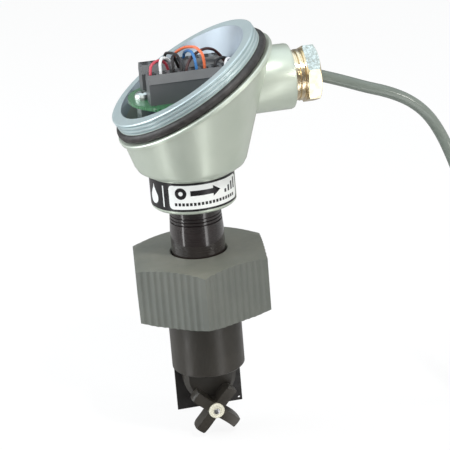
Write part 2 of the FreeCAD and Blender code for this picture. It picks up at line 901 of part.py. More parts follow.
def make_rim_seal():
    """Cover seal, an O-ring in the groove under the rim's thread."""
    cord = S.rim_seal_cord / 2
    return ring(
        "rim_seal",
        seal_floor + cord,
        cord,
        **rim_place(S.rim_thread_len + cord),
    )


def make_label():
    """Label wrapped part of the way round the neck."""
    outer = cylinder(
        "label_outer",
        S.neck_dia / 2 + S.label_film,
        S.label_high,
        z=S.label_z0,
        axis=(0, 0, 1),
        angle=S.label_start,
    )
    outer.Angle = S.label_span.value
    outer.setExpression("Angle", S.label_span.text + " * 1deg")
    inner = cylinder("label_inner", S.neck_dia / 2, S.label_high + 2, z=S.label_z0 - 1)
    return cut("neck_label", outer, inner)


def make_gland_body():
    """Plated gland: a thread in the entry, rings outside it and a throat for the rubber bush."""
    crest = S.gland_ring_dia / 2
    inside = S.gland_throat / 2
    jacket = S.cable_dia / 2 + 0.4
    root = crest - S.gland_groove
    length = S.gland_ring_len
    return turned(
        "gland_body",
        [
            (jacket, -S.gland_in),
            (S.entry_bore / 2, -S.gland_in),
            (S.entry_bore / 2, 0),
            (crest, 0),
            (crest, length * 0.24),
            (root, length * 0.32),
            (root, length * 0.4),
            (crest, length * 0.48),
            (crest, length * 0.66),
            (root, length * 0.74),
            (root, length * 0.82),
            (crest, length * 0.9),
            (crest, length),
            (inside, length),
            (inside, -S.gland_in + 3),
            (jacket, -S.gland_in + 3),
        ],
        x=S.entry_end_x,
        z=S.entry_z,
        axis=(0, 1, 0),
        angle=90,
    )


def make_gland_nut():
    """Hexagon gland nut with bevelled corners, bored for the cable."""
    corner = S.gland_flats / (2 * math.cos(math.radians(30)))
    hexagon = pushed("gland_hexagon", "XY_Plane", hexagon_corners(S.gland_flats), S.gland_hex_len)
    envelope = turned(
        "gland_envelope",
        [
            (S.cable_dia / 2 + 0.2, 0),
            (corner - S.gland_bevel * 0.5, 0),
            (corner + 0.1, S.gland_bevel * 0.5),
            (corner + 0.1, S.gland_hex_len - S.gland_bevel),
            (corner - S.gland_bevel * 1.7, S.gland_hex_len),
            (S.cable_dia / 2 + 2.5, S.gland_hex_len),
            (S.cable_dia / 2 + 1.6, S.gland_hex_len - 0.7),
        ],
    )
    made = common("gland_nut", hexagon, envelope)
    turn = Rotation(Vector(0, 1, 0), 90).multiply(
        Rotation(Vector(0, 0, 1), 90 - S.gland_hex_turn.value)
    )
    made.Placement = Placement(Vector(0, 0, S.entry_z.value), turn)
    bind(made, "Placement.Base.x", S.entry_end_x + S.gland_ring_len)
    bind(made, "Placement.Base.z", S.entry_z)
    return made


def make_gland_bush():
    """Rubber bush that grips the cable inside the gland."""
    inside = S.gland_throat / 2
    return turned(
        "gland_bush",
        [
            (S.cable_dia / 2, -S.gland_in + 3),
            (inside - 1, -S.gland_in + 3),
            (inside, -S.gland_in + 4),
            (inside, S.gland_ring_len),
            (S.cable_dia / 2, S.gland_ring_len),
        ],
        x=S.entry_end_x,
        z=S.entry_z,
        axis=(0, 1, 0),
        angle=90,
    )


def make_board():
    """Round circuit board with a hole for the lead and two screw holes."""
    disc = cylinder("board_disc", board_radius, S.board_thick, x=S.board_x, z=board_under)
    hole = cylinder("board_hole", S.board_hole_dia / 2, S.board_thick + 2, z=board_under - 1)
    holes = [
        cylinder(
            "board_screw_hole_" + name,
            S.screw_dia / 2,
            S.board_thick + 2,
            x=S.post_at * hand,
            z=board_under - 1,
        )
        for name, hand in (("left", -1), ("right", 1))
    ]
    return cut("circuit_board", disc, hole, *holes)


def hexagon_corners(flats):
    """Corners of a hexagon by its size across flats, with a corner on the first axis."""
    corner = flats / (2 * math.cos(math.radians(30)))
    angles = [math.radians(60 * k) for k in range(6)]
    return [(corner * math.cos(a), corner * math.sin(a)) for a in angles]


def make_post(name, hand):
    """Hexagon spacer from a pad on the floor of the head up to the board, drilled for its screw."""
    low = S.bowl_floor_z + S.pad_high
    rod = pushed(
        name + "_rod",
        "XY_Plane",
        hexagon_corners(S.post_flats),
        board_under - low,
        x=S.post_at * hand,
        z=low,
    )
    hole = cylinder(
        name + "_hole",
        S.screw_dia / 2,
        S.screw_len + 2,
        x=S.post_at * hand,
        z=board_under - S.screw_len,
    )
    return cut(name, rod, hole)


def make_board_screw(name, hand):
    """Pan head screw with a cross slot."""
    radius = S.screw_head_dia / 2
    high = S.screw_head_high
    body = turned(
        name + "_body",
        [
            (0, -S.board_thick - S.screw_len + 1),
            (S.screw_dia / 2, -S.board_thick - S.screw_len + 1),
            (S.screw_dia / 2, 0),
            (radius, 0),
            (radius, high * 0.35),
            (radius * 0.86, high * 0.72),
            (radius * 0.55, high * 0.95),
            (0, high),
        ],
        x=S.post_at * hand,
        z=S.board_z,
    )
    slots = [
        block(
            name + "_slot_" + way,
            length,
            width,
            high,
            x=S.post_at * hand - length / 2,
            y=-width / 2,
            z=S.board_z + high * 0.5,
        )
        for way, length, width in (
            ("across", radius * 1.2, radius * 0.24),
            ("along", radius * 0.24, radius * 1.2),
        )
    ]
    return cut(name, body, *slots)


block_len = S.block_pitch * S.block_poles


def pole_x(k):
    return S.block_x0 + S.block_pitch * (k + 0.5)


def make_terminal_block(name, hand):
    """Terminal block with sloping top edges, and a screw well and a wire funnel for each pole.
    hand is -1 for the block in front of the middle and 1 for the one behind it."""
    slope_low = block_top - S.block_slope
    corners = [
        ((S.block_out - S.block_step) * hand, S.board_z),
        ((S.block_out - S.block_step) * hand, slope_low),
        (S.block_out * hand, slope_low),
        ((S.block_out - S.block_slope_in) * hand, block_top),
        ((S.block_in + S.block_slope_in) * hand, block_top),
        (S.block_in * hand, slope_low),
        ((S.block_in + S.block_step) * hand, slope_low),
        ((S.block_in + S.block_step) * hand, S.board_z),
    ]
    body = pushed(name + "_body", "YZ_Plane", corners, block_len, x=S.block_x0)
    tools = []
    for k in range(int(S.block_poles.value)):
        tools.append(
            cylinder(
                "%s_well_%d" % (name, k + 1),
                S.well_dia / 2,
                S.well_deep + 1,
                x=pole_x(k),
                y=S.well_out * hand,
                z=block_top - S.well_deep,
            )
        )
        tools.append(
            block(
                "%s_funnel_%d" % (name, k + 1),
                S.funnel_long,
                S.funnel_wide,
                S.funnel_deep + 1,
                x=pole_x(k) - S.funnel_long / 2,
                y=S.funnel_out * hand - S.funnel_wide / 2,
                z=funnel_floor,
            )
        )
    return cut(name, body, *tools)


def make_clamp_screws(name, hand):
    """Slotted clamp screws at the bottom of the wells of one block, as a group."""
    base = block_top - S.well_deep
    group = []
    for k in range(int(S.block_poles.value)):
        head = cylinder(
            "%s_head_%d" % (name, k + 1),
            S.well_dia / 2 - 0.1,
            S.clamp_high,
            x=pole_x(k),
            y=S.well_out * hand,
            z=base,
        )
        slot = block(
            "%s_slot_%d" % (name, k + 1),
            S.well_dia + 1,
            0.6,
            1.2,
            x=pole_x(k) - S.well_dia / 2 - 0.5,
            y=S.well_out * hand - 0.3,
            z=base + S.clamp_high - 1,
        )
        group.append(cut("%s_%d" % (name, k + 1), head, slot))
    made = doc.addObject("Part::Compound", name)
    made.Links = group
    return made


def smooth_path(points):
    """Straight runs joined by tangent arcs, as one wire, with its length and arc radii."""
    edges, radii = [], []
    count = len(points)
    runs = [(points[i + 1] - points[i]).Length for i in range(count - 1)]
    start = points[0]
    for i in range(1, count - 1):
        way_in = (points[i] - points[i - 1]).normalize()
        way_out = (points[i + 1] - points[i]).normalize()
        turn = way_in.getAngle(way_out)
        reach = 0.45 * min(runs[i - 1], runs[i])
        radii.append(reach / math.tan(turn / 2))
        first = points[i] - way_in * reach
        last = points[i] + way_out * reach
        bisect = (way_out - way_in).normalize()
        centre = points[i] + bisect * (reach / math.sin(turn / 2))
        middle = centre - bisect * radii[-1]
        edges.append(Part.LineSegment(start, first).toShape())
        edges.append(Part.Arc(first, middle, last).toShape())
        start = last
    edges.append(Part.LineSegment(start, points[-1]).toShape())
    wire = Part.Wire(edges)
    return wire, wire.Length, radii


def tube(name, points, diameter):
    """A round tube along a path, with its volume compared with its section times its length."""
    wire, length, radii = smooth_path([Vector(*p) for p in points])
    way = (Vector(*points[1]) - Vector(*points[0])).normalize()
    section = Part.Wire(Part.Circle(Vector(*points[0]), way, number(diameter) / 2).toShape())
    solid = wire.makePipeShell([section], True, True)
    expected = math.pi * (number(diameter) / 2) ** 2 * length
    print(
        "%s: length %.1f mm, radii %s, volume %.4f of expected"
        % (name, length, [round(r, 1) for r in radii], solid.Volume / expected)
    )
    return shaped(name, solid)


# Route of the free cable, from the gland nut down to the coil: points chosen by hand, in mm.
CABLE_ROUTE = [
    (72.6, 0.0, 138.91),
    (78.45, -0.2, 136.78),
    (89.6, -1.0, 132.3),
    (100.6, -1.5, 128.6),
    (111.4, -1.5, 122.9),
    (120.3, -1.4, 114.6),
    (126.6, -2.4, 103.6),
    (130.8, -5.2, 91.6),
    (133.8, -10.8, 79.0),
    (135.8, -18.8, 66.2),
    (137.2, -27.8, 53.4),
    (138.2, -36.5, 40.0),
    (138.6, -44.0, 26.0),
    (138.7, -50.3, 12.4),
    (138.7, -49.7, -4.8),
    (138.7, -40.6, -19.5),
    (138.7, -25.9, -27.8),
    (138.7, -9.1, -27.8),
]


def foot(pole, hand, shift=0.0):
    """Where a wire stands in the funnel of a pole, counted from 1 at the left."""
    x = number(pole_x(pole - 1)) + shift
    y = S.funnel_out.value * hand
    return Vector(x, y, funnel_floor.value)


def route(start, between, end, last=None, above_start=6.4):
    """A wire's points: up out of its foot, along the points between, and straight into its end.
    A point between is (x, y, height above the blocks), and last is the final stretch."""
    high = block_top.value
    last = last or Vector(0, 0, 6.4)
    points = [start, start + Vector(0, 0, above_start)]
    points += [Vector(x, y, high + above) for x, y, above in between]
    return points + [end + last, end]


def lead_core(turn):
    """Where a core of the pickup lead comes out of the end of the lead."""
    reach = S.lead_dia.value * 0.3
    angle = math.radians(turn)
    x = reach * math.cos(angle)
    y = pickup_y.value + reach * math.sin(angle)
    return Vector(x, y, S.board_z.value + S.lead_out.value)


def field_core(turn):
    """Where a core of the cable comes out of the inner end of its jacket."""
    reach = S.cable_dia.value * 0.215
    angle = math.radians(turn)
    y, z = reach * math.cos(angle), reach * math.sin(angle)
    return Vector(S.cable_inside_x.value, y, S.entry_z.value + z)


def wire_routes():
    """Every wire in the head: the points that it follows, chosen by hand between its two ends."""
    low = Vector(0, 0, 4.6)
    up = Vector(0, 0, 2.2)
    inward = Vector(-2.6, 0, 0)
    return {
        "wire_orange": route(
            foot(6, -1),
            [(8.3, -10.8, 6.4), (6.2, -5.8, 8.9), (2.6, 3.0, 7.4), (-0.6, 9.6, 3.9)],
            foot(4, 1),
        ),
        "wire_blue": route(
            foot(5, -1, 1.1),
            [(4.4, -10.6, 4.6), (4.0, -5.5, 6.9), (3.4, 2.5, 5.7), (3.0, 9.4, 3.0)],
            foot(5, 1, -0.6),
            low,
            4.6,
        ),
        "wire_white": route(
            foot(2, -1, -1.1),
            [(-12.4, -10.8, 4.6), (-11.0, -8.6, 6.4), (-8.2, -5.6, 5.4)]
            + [(-5.6, -2.6, 2.0), (-3.6, 0.6, -4.6)],
            lead_core(90),
            up,
        ),
        "wire_red": route(
            foot(1, -1, -1.1),
            [(-16.8, -10.6, 4.0), (-14.0, -8.4, 5.0), (-11.0, -5.8, 4.8)]
            + [(-8.4, -3.6, 2.2), (-6.8, -1.4, -3.0), (-3.4, 0.2, -8.6)],
            lead_core(210),
            up,
            4.8,
        ),
        "wire_black": route(
            foot(3, -1),
            [(-6.3, -10.2, 5.5), (-5.2, -6.0, 6.3), (-3.2, -2.2, 2.1), (-0.6, -0.2, -4.7)],
            lead_core(330),
            Vector(0, 0, 4.0),
            5.4,
        ),
        "wire_dark": route(
            foot(3, 1),
            [(-6.1, 10.2, 3.7), (-4.4, 5.0, 4.9), (-2.4, -1.4, 5.2), (-2.5, -9.6, 3.6)],
            foot(4, -1, -1.1),
            low,
            4.6,
        ),
        "core_brown": route(
            foot(4, -1, 1.1),
            [(2.2, -8.6, 3.6), (4.6, -5.6, 4.9), (8.6, -2.4, 6.2), (12.8, 0.6, 6.0)]
            + [(16.6, 2.5, 4.3), (19.6, 3.0, 0.6), (22.0, 2.8, -3.6), (24.6, 2.0, -8.0)],
            field_core(30),
            inward,
            5.4,
        ),
        "core_black": route(
            foot(7, -1),
            [(14.6, -10.2, 2.4), (18.4, -6.4, 2.6), (22.4, -2.6, 0.2), (25.4, -0.9, -5.4)],
            field_core(150),
            Vector(-2.0, 0, 0),
            5.4,
        ),
        "core_white": route(
            foot(8, -1),
            [(19.6, -10.4, 2.4), (21.8, -7.4, 1.8), (23.6, -4.2, -2.4), (24.6, -1.8, -8.0)],
            field_core(270),
            Vector(-3.8, 0, 0),
            5.4,
        ),
    }


def coil_levels():
    """Heights of the two layers of the coil, lower first, above the surface that it lies on."""
    low = S.cable_dia / 2 - S.floor_drop
    return [low + S.cable_dia * k for k in range(int(S.coil_layers.value))]


def make_coil():
    """Outer shape of the coil of spare cable, with the two short stretches that lead in and out."""
    half = S.cable_dia * S.coil_across / 2
    high = S.cable_dia * S.coil_layers
    edge = S.cable_dia * 0.3
    inner, outer = S.coil_radius - half, S.coil_radius + half
    loop = turned(
        "coil_loop",
        [
            (inner + edge, 0),
            (outer - edge, 0),
            (outer, edge),
            (outer, high - edge),
            (outer - edge, high),
            (inner + edge, high),
            (inner, high - edge),
            (inner, edge),
        ],
        x=S.coil_x,
        y=S.coil_y,
        z=-S.floor_drop,
    )
    last = S.coil_radius + S.cable_dia * (S.coil_across - 1) / 2
    lower, upper = coil_levels()
    lead_in = cylinder(
        "coil_lead_in",
        S.cable_dia / 2,
        S.coil_reach,
        x=S.coil_x - last,
        y=S.coil_y,
        z=upper,
        axis=(1, 0, 0),
        angle=90,
    )
    lead_out = cylinder(
        "coil_lead_out",
        S.cable_dia / 2,
        S.coil_reach,
        x=S.coil_x,
        y=S.coil_y + last,
        z=lower,
        axis=(0, 1, 0),
        angle=90,
    )
    return fuse("lead_coil", loop, lead_in, lead_out)


def make_end_cores():
    """Bare end of the cable: three stripped cores, as a group."""
    last = S.coil_radius + S.cable_dia * (S.coil_across - 1) / 2
    lower = coil_levels()[0]
    group = []
    for k in range(3):
        angle = math.radians(90 + 120 * k)
        group.append(
            cylinder(
                "end_core_%d" % (k + 1),
                S.wire_dia / 2,
                S.bare_len,
                x=S.coil_x + S.coil_reach,
                y=S.coil_y + last + 1.2 * math.cos(angle),
                z=lower + 1.2 * math.sin(angle),
                axis=(0, 1, 0),
                angle=90,
            )
        )
    made = doc.addObject("Part::Compound", "lead_end_cores")
    made.Links = group
    return made


def make_inner_cable():
    """The cable from the end of its jacket inside the head to where it leaves the gland nut."""
    outer = number(S.entry_end_x + S.gland_ring_len)
    bend = (outer + 3.7, 0.0, S.entry_z.value)
    return tube(
        "cable_inner_end",
        [(S.cable_inside_x.value, 0.0, S.entry_z.value), bend, CABLE_ROUTE[0]],
        S.cable_dia,
    )


print("parts")
nodes = []


def keep(label, made):
    """Notes a finished sub-part under the name that its file takes."""
    made.Label = label
    nodes.append(made)


keep("sensor_body", make_sensor_body())
keep("shield_plate", make_shield_plate())
keep("paddle_wheel", make_paddle_wheel())
keep("wheel_magnets", make_wheel_magnets())
keep("wheel_pin", make_wheel_pin())
keep("wheel_bush", make_wheel_bush())
keep("pickup", make_pickup())
keep("pickup_lead", make_pickup_lead())
keep("flange_seal", make_flange_seal())
keep("stem_tube", make_stem())
keep("nut_slip_washer", make_slip_washer())
keep("union_nut", make_union_nut())
keep("head_housing", make_head())
keep("rim_seal", make_rim_seal())
keep("neck_label", make_label())
keep("gland_body", make_gland_body())
keep("gland_nut", make_gland_nut())
keep("gland_bush", make_gland_bush())
keep("circuit_board", make_board())
keep("board_spacer_left", make_post("board_spacer_left", -1))
keep("board_spacer_right", make_post("board_spacer_right", 1))
keep("board_screw_left", make_board_screw("board_screw_left", -1))
keep("board_screw_right", make_board_screw("board_screw_right", 1))
keep("terminal_block_front", make_terminal_block("terminal_block_front", -1))
keep("terminal_block_rear", make_terminal_block("terminal_block_rear", 1))
keep("clamp_screws_front", make_clamp_screws("clamp_screws_front", -1))
keep("clamp_screws_rear", make_clamp_screws("clamp_screws_rear", 1))
keep("cable_inner_end", make_inner_cable())
for label, points in wire_routes().items():
    keep(label, tube(label, points, S.wire_dia))
keep("lead_cable", tube("lead_cable", CABLE_ROUTE, S.cable_dia))
keep("lead_coil", make_coil())
keep("lead_end_cores", make_end_cores())

doc.recompute()
for thing in doc.Objects:
    if "Invalid" in thing.State or "Error" in thing.State:
        raise SystemExit("%s failed: %s" % (thing.Name, thing.State))
os.makedirs("parts", exist_ok=True)
for made in nodes:
    shape = made.Shape
    if shape.isNull() or not shape.isValid():
        raise SystemExit("%s has no valid shape" % made.Label)
    shape.exportStep("parts/%s.step" % made.Label)
    print("%s: %d solids, %.1f mm3" % (made.Label, len(shape.Solids), shape.Volume))
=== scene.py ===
# Paddle wheel flow sensor: looks, free cable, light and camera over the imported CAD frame.
# All lengths are in metres, in the part's own frame: +Z up the probe, +X towards the cable entry.
import json
import math

import bmesh
import bpy
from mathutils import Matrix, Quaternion, Vector


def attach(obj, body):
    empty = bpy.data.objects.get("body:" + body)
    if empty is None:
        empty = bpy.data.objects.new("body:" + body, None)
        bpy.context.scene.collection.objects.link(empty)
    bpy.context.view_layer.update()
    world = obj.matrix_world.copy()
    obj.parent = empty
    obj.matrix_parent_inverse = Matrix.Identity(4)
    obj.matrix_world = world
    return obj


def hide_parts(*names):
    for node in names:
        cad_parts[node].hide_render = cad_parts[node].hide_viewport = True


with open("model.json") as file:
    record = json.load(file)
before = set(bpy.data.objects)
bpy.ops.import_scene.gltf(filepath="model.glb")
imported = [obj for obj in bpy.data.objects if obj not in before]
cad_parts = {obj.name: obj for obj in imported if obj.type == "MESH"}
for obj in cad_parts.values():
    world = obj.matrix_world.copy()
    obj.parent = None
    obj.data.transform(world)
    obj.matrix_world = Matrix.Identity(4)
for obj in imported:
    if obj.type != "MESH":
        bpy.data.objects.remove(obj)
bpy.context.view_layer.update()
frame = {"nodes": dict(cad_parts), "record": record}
NODES = frame["nodes"]
MM = 0.001
SENSOR = "sensor"


# Camera at the photograph's viewing angle
CAMERA_AZIMUTH = -10.6
CAMERA_ELEVATION = 19.94
CAMERA_ROLL = -4.73
CAMERA_TARGET = Vector((14.21, 0.0, 71.57)) * MM
CAMERA_DISTANCE = 861.74 * MM
CAMERA_LENS = 139.7


def make_camera():
    """The fitted camera: turned round the target, then rolled about its own view."""
    azimuth, elevation = math.radians(CAMERA_AZIMUTH), math.radians(CAMERA_ELEVATION)
    back = Vector(
        (
            math.sin(azimuth) * math.cos(elevation),
            -math.cos(azimuth) * math.cos(elevation),
            math.sin(elevation),
        )
    )
    data = bpy.data.cameras.new("camera")
    data.lens = CAMERA_LENS
    data.sensor_width = 36.0
    data.clip_start = 0.05
    data.clip_end = 50.0
    camera = bpy.data.objects.new("camera", data)
    bpy.context.scene.collection.objects.link(camera)
    camera.location = CAMERA_TARGET + back * CAMERA_DISTANCE
    camera.rotation_mode = "QUATERNION"
    roll = Quaternion((0, 0, 1), math.radians(CAMERA_ROLL))
    camera.rotation_quaternion = (-back).to_track_quat("-Z", "Y") @ roll
    bpy.context.scene.camera = camera


make_camera()


# Where the head's rim and hollow lie, from the sizes of the part's source; the paint there carries a
# painted bluish reflection
RIM_TILT = math.radians(29.6)
RIM_AXIS = (-math.sin(RIM_TILT), 0.0, math.cos(RIM_TILT))
THREAD_LENGTH = 5.7 * MM
MOUTH_RADIUS = 35.1 * MM
MASK_EDGE = 0.3 * MM
RIM_CENTRE = Vector((-0.8, 0.0, 151.9)) * MM
RIM_POINT = RIM_CENTRE - Vector(RIM_AXIS) * THREAD_LENGTH


# Small helpers for materials
class Nodes:
    """A material's node tree with short calls for what the finishes share."""

    def __init__(self, name):
        self.material = bpy.data.materials.new(name)
        self.material.use_nodes = True
        self.tree = self.material.node_tree
        self.shader = self.tree.nodes["Principled BSDF"]
        self.place = None

    def add(self, kind, **values):
        node = self.tree.nodes.new(kind)
        for name, value in values.items():
            setattr(node, name, value)
        return node

    def link(self, source, target):
        self.tree.links.new(source, target)

    def coordinates(self):
        if self.place is None:
            self.place = self.add("ShaderNodeTexCoord").outputs["Object"]
        return self.place

    def scaled(self, scale):
        """Object coordinates scaled by three factors, for streaks and turned lines."""
        mapping = self.add("ShaderNodeMapping")
        mapping.inputs["Scale"].default_value = scale
        self.link(self.coordinates(), mapping.inputs["Vector"])
        return mapping.outputs["Vector"]

    def noise(self, scale, detail=3.0, rough=0.55, vector=None):
        node = self.add("ShaderNodeTexNoise")
        node.inputs["Scale"].default_value = scale
        node.inputs["Detail"].default_value = detail
        node.inputs["Roughness"].default_value = rough
        self.link(vector or self.coordinates(), node.inputs["Vector"])
        return node.outputs["Fac"]

    def ramp(self, factor, stops):
        """A colour ramp from (position, colour) stops."""
        node = self.add("ShaderNodeValToRGB")
        elements = node.color_ramp.elements
        while len(elements) < len(stops):
            elements.new(0.5)
        for element, (at, colour) in zip(elements, stops):
            element.position = at
            element.color = (*colour, 1.0)
        self.link(factor, node.inputs["Fac"])
        return node.outputs["Color"]

    def to_range(self, value, low, high, from_low=0.0, from_high=1.0):
        node = self.add("ShaderNodeMapRange")
        node.inputs["From Min"].default_value = from_low
        node.inputs["From Max"].default_value = from_high
        node.inputs["To Min"].default_value = low
        node.inputs["To Max"].default_value = high
        self.link(value, node.inputs["Value"])
        return node.outputs["Result"]

    def math(self, operation, first, second=0.5):
        node = self.add("ShaderNodeMath", operation=operation)
        for slot, value in zip(node.inputs, (first, second)):
            if isinstance(value, (int, float)):
                slot.default_value = value
            else:
                self.link(value, slot)
        return node.outputs["Value"]

    def blend(self, factor, first, second):
        """Mixes two colours, each a plain colour or another node's output."""
        node = self.add("ShaderNodeMix", data_type="RGBA")
        for slot, value in zip((node.inputs[0], node.inputs[6], node.inputs[7]), (factor, first, second)):
            if isinstance(value, float):
                slot.default_value = value
            elif isinstance(value, tuple):
                slot.default_value = (*value, 1.0)
            else:
                self.link(value, slot)
        return node.outputs[2]

    def bump(self, height, depth, strength=1.0):
        """Bumps the surface by a height of 0 to 1, depth metres deep, over any earlier bump."""
        node = self.add("ShaderNodeBump")
        node.inputs["Strength"].default_value = strength
        node.inputs["Distance"].default_value = depth
        self.link(height, node.inputs["Height"])
        before = self.shader.inputs["Normal"]
        if before.is_linked:
            self.link(before.links[0].from_socket, node.inputs["Normal"])
        self.link(node.outputs["Normal"], before)

    def upward(self, low, high):
        """A factor from 0 on surfaces that face down to 1 on those that face up."""
        apart = self.add("ShaderNodeSeparateXYZ")
        self.link(self.add("ShaderNodeTexCoord").outputs["Normal"], apart.inputs[0])
        return self.to_range(apart.outputs["Z"], 0.0, 1.0, low, high)

    def vector_math(self, operation, first, second=None):
        """One step of vector mathematics; the second value is a plain vector or an output."""
        node = self.add("ShaderNodeVectorMath", operation=operation)
        self.link(first, node.inputs[0])
        if isinstance(second, (tuple, Vector)):
            node.inputs[1].default_value = second
        elif second is not None:
            self.link(second, node.inputs[1])
        return node.outputs["Value" if operation in ("DOT_PRODUCT", "LENGTH") else "Vector"]

    def beyond(self, point, way):
        """1 on what lies beyond a plane through a point, and 0 before it."""
        shifted = self.vector_math("SUBTRACT", self.coordinates(), point)
        along = self.vector_math("DOT_PRODUCT", shifted, way)
        return self.to_range(along, 0.0, 1.0, 0.0, MASK_EDGE)

    def within(self, point, way, radius):
        """1 within a radius of the line through a point, and 0 outside it."""
        shifted = self.vector_math("SUBTRACT", self.coordinates(), point)
        away = self.vector_math("LENGTH", self.vector_math("CROSS_PRODUCT", shifted, way))
        return self.to_range(away, 1.0, 0.0, radius, radius + MASK_EDGE)

    def inward(self):
        """1 on surfaces that face the upright axis of the head, and 0 on those that face out."""
        flat = self.vector_math("MULTIPLY", self.coordinates(), (1.0, 1.0, 0.0))
        normal = self.add("ShaderNodeTexCoord").outputs["Normal"]
        facing = self.vector_math("DOT_PRODUCT", flat, normal)
        return self.to_range(facing, 1.0, 0.0, -6.0 * MM, -1.0 * MM)

    def set(self, **values):
        for name, value in values.items():
            slot = self.shader.inputs[name.replace("_", " ")]
            slot.default_value = (*value, 1.0) if isinstance(value, tuple) else value


def varied(n, colour, spread, scale=60.0, detail=4.0):
    """The base colour, a little lighter and darker from place to place."""
    dark = tuple(c * (1.0 - spread) for c in colour)
    light = tuple(min(1.0, c * (1.0 + spread)) for c in colour)
    out = n.ramp(n.noise(scale, detail), [(0.3, dark), (0.7, light)])
    n.link(out, n.shader.inputs["Base Color"])
    return out


def moulded(name, colour, rough=0.5, grain=900.0, depth=0.00004, spread=0.08):
    """Moulded plastic: a fine eggshell grain, faint flow mottling and an uneven sheen."""
    n = Nodes(name)
    varied(n, colour, spread)
    n.link(n.to_range(n.noise(140.0), rough - 0.07, rough + 0.08, 0.3, 0.7), n.shader.inputs["Roughness"])
    n.bump(n.noise(grain, 2.0), depth)
    return n.material


def cast_paint():
    """Warm grey paint on the outside of an aluminium casting; rim and thread carry a painted bluish
    reflection, and the inside a painted bluish reflection with painted shade, darker.
    """
    n = Nodes("cast_paint")
    # Painted reflection: bluish tone for the rim and thread beyond the seal plane.
    rim_reflection_tint = n.ramp(n.noise(45.0, 4.0), [(0.3, (0.47, 0.56, 0.57)), (0.7, (0.53, 0.625, 0.635))])
    warm = n.ramp(n.noise(45.0, 4.0), [(0.3, (0.545, 0.60, 0.51)), (0.7, (0.585, 0.635, 0.545))])
    # Painted reflection and painted shade: the hollow is bluer and darker than the rim.
    hollow_reflection_shade = n.ramp(n.noise(60.0, 4.0), [(0.3, (0.40, 0.455, 0.51)), (0.7, (0.45, 0.51, 0.565))])
    outside = n.blend(n.beyond(RIM_POINT, RIM_AXIS), warm, rim_reflection_tint)
    hollow = n.math("MULTIPLY", n.inward(), n.within(RIM_CENTRE, RIM_AXIS, MOUTH_RADIUS))
    n.link(n.blend(hollow, outside, hollow_reflection_shade), n.shader.inputs["Base Color"])
    n.set(Metallic=0.45, Coat_Weight=0.2, Coat_Roughness=0.2)
    n.link(n.to_range(n.noise(230.0), 0.30, 0.40, 0.3, 0.7), n.shader.inputs["Roughness"])
    n.bump(n.noise(420.0, 4.0, 0.6), 0.00008, 0.5)
    n.bump(n.noise(1500.0, 2.0), 0.00002, 0.5)
    return n.material


def nut_moulding():
    """Grey moulding of the nut, with painted light on its top: lighter and warmer there."""
    n = Nodes("nut_plastic")
    sides = n.ramp(n.noise(60.0, 4.0), [(0.3, (0.108, 0.118, 0.107)), (0.7, (0.128, 0.14, 0.127))])
    # Painted light: the top is a lighter, warmer copy of the sides, blended in where the surface faces up.
    top = n.ramp(n.noise(34.0, 5.0, 0.6), [(0.35, (0.13, 0.134, 0.112)), (0.65, (0.185, 0.182, 0.148))])
    n.link(n.blend(n.upward(-0.6, 1.3), sides, top), n.shader.inputs["Base Color"])
    n.link(n.to_range(n.noise(140.0), 0.36, 0.5, 0.3, 0.7), n.shader.inputs["Roughness"])
    n.bump(n.noise(700.0, 2.0), 0.00005)
    return n.material


def turned_coat():
    """Very dark glossy stem with fine lathe lines round it."""
    n = Nodes("turned_coat")
    varied(n, (0.013, 0.007, 0.0065), 0.3, 90.0)
    round_stem = n.add("ShaderNodeTangent", direction_type="RADIAL", axis="Z")
    n.link(round_stem.outputs["Tangent"], n.shader.inputs["Tangent"])
    n.set(Anisotropic=0.7, Coat_Weight=1.0, Coat_IOR=1.6, Coat_Roughness=0.07)
    lines = n.noise(1.0, 2.0, 0.7, n.scaled((20.0, 20.0, 4200.0)))
    n.link(n.to_range(lines, 0.22, 0.36, 0.3, 0.7), n.shader.inputs["Roughness"])
    n.bump(lines, 0.000012, 0.5)
    return n.material


def rubber(name, colour=(0.021, 0.018, 0.017), rough=0.42):
    """Black rubber with a faint bloom."""
    n = Nodes(name)
    bloom = tuple(c * 2.2 + 0.01 for c in colour)
    out = n.ramp(n.noise(260.0, 5.0), [(0.42, colour), (0.8, bloom)])
    n.link(out, n.shader.inputs["Base Color"])
    n.link(n.to_range(n.noise(300.0), rough - 0.06, rough + 0.12, 0.3, 0.7), n.shader.inputs["Roughness"])
    n.bump(n.noise(1400.0, 2.0), 0.00002)
    return n.material


def metal(name, colour, rough, lines=None, spread=0.06, depth=0.00002):
    """Bare or plated metal, with machining lines if a scale for them is given."""
    n = Nodes(name)
    varied(n, colour, spread, 180.0)
    n.set(Metallic=1.0)
    pattern = n.noise(1.0, 2.0, 0.6, n.scaled(lines)) if lines else n.noise(700.0, 3.0)
    n.link(n.to_range(pattern, rough * 0.75, rough * 1.3, 0.3, 0.7), n.shader.inputs["Roughness"])
    n.bump(pattern, depth, 0.5)
    return n.material


def gland_nut_plate():
    """Yellowish plating; the facet that faces up has a mottled bluish reflection painted into its colour.
    """
    n = Nodes("gland_nut_plate")
    plain = n.ramp(n.noise(150.0), [(0.3, (0.84, 0.71, 0.47)), (0.7, (0.9, 0.78, 0.54))])
    # Painted reflection: dark, blue and white mottling for what the upper facet mirrors.
    painted_reflection = n.ramp(
        n.noise(650.0, 5.0, 0.75),
        [(0.36, (0.08, 0.14, 0.18)), (0.5, (0.26, 0.38, 0.45)), (0.64, (0.62, 0.76, 0.82))],
    )
    n.link(n.blend(n.upward(0.7, 0.8), plain, painted_reflection), n.shader.inputs["Base Color"])
    n.set(Metallic=1.0)
    n.link(n.to_range(n.noise(300.0), 0.16, 0.3, 0.3, 0.7), n.shader.inputs["Roughness"])
    n.bump(n.noise(500.0, 3.0), 0.00004, 0.5)
    return n.material


